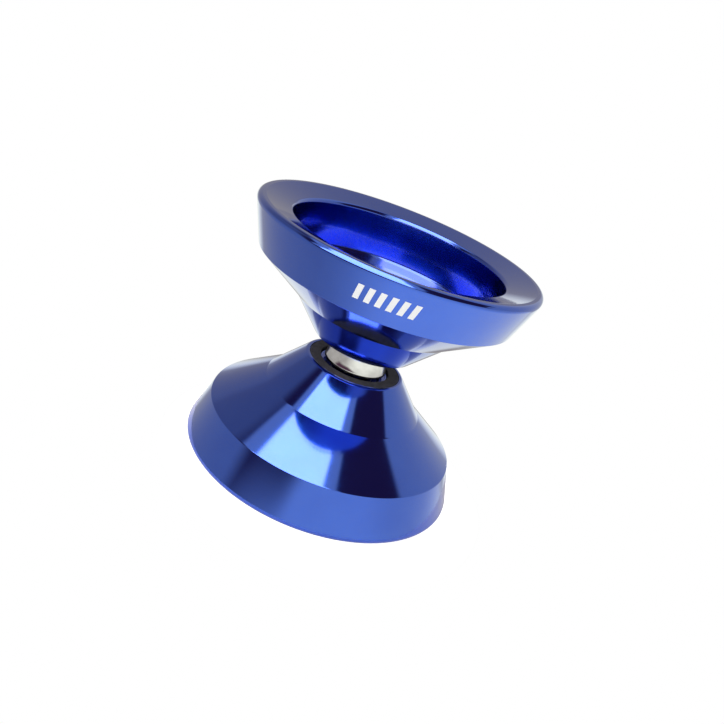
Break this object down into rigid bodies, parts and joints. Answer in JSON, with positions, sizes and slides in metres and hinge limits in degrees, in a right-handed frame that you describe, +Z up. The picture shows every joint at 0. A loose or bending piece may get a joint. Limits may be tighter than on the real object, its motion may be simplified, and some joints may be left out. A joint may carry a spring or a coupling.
{
  "type": "yo-yo",
  "caption": "Wide V-shaped metal yo-yo: two cupped halves screwed together on an axle around a ball bearing, with silicone response pads.",
  "frame": {"origin": "centre of the string gap, on the spin axis", "axes": "+Z along the spin axis, out of the upper cup; the yo-yo rests on the lower rim with +Z up"},
  "size_m": [0.056, 0.056, 0.0494],
  "materials": {
    "anodised_aluminium": "blue anodised, fine turned satin gloss",
    "response_silicone": "matt moulded silicone",
    "axle_steel": "oiled black-grey steel",
    "bearing_steel": "ground and polished bearing steel",
    "shield_steel": "pressed thin steel",
    "cage_nylon": "moulded natural nylon",
    "ball_steel": "polished"
  },
  "bodies": {
    "lower_assembly": {"lower_half": "anodised_aluminium", "lower_response_pad": "response_silicone", "axle": "axle_steel"},
    "bearing_core": {"bearing_inner_race": "bearing_steel"},
    "upper_assembly": {"upper_half": "anodised_aluminium", "upper_response_pad": "response_silicone"},
    "outer_ring": {"bearing_outer_race": "bearing_steel", "upper_shield": "shield_steel", "lower_shield": "shield_steel", "upper_snap_ring": "axle_steel", "lower_snap_ring": "axle_steel"},
    "ball_set": {"bearing_cage": "cage_nylon", "bearing_ball_1": "ball_steel", "bearing_ball_2": "ball_steel", "bearing_ball_3": "ball_steel", "bearing_ball_4": "ball_steel", "bearing_ball_5": "ball_steel", "bearing_ball_6": "ball_steel", "bearing_ball_7": "ball_steel", "bearing_ball_8": "ball_steel", "bearing_ball_9": "ball_steel", "bearing_ball_10": "ball_steel"}
  },
  "joints": [
    {"name": "half_lift", "type": "slide", "parent": "lower_assembly", "child": "bearing_core", "axis": [0, 0, 1], "range_m": [0, 0.0077]},
    {"name": "half_unscrew", "type": "hinge", "parent": "bearing_core", "child": "upper_assembly", "pos_m": [0, 0, 0], "axis": [0, 0, 1], "range_deg": [0, 3960]},
    {"name": "race_spin", "type": "hinge", "parent": "bearing_core", "child": "outer_ring", "pos_m": [0, 0, 0], "axis": [0, 0, 1], "continuous": true},
    {"name": "cage_spin", "type": "hinge", "parent": "bearing_core", "child": "ball_set", "pos_m": [0, 0, 0], "axis": [0, 0, 1], "continuous": true}
  ],
  "couplings": [
    {"joint": "half_lift", "follows": "half_unscrew", "m_per_rad": 0.00011141},
    {"joint": "cage_spin", "follows": "race_spin", "ratio": 0.5834}
  ]
}
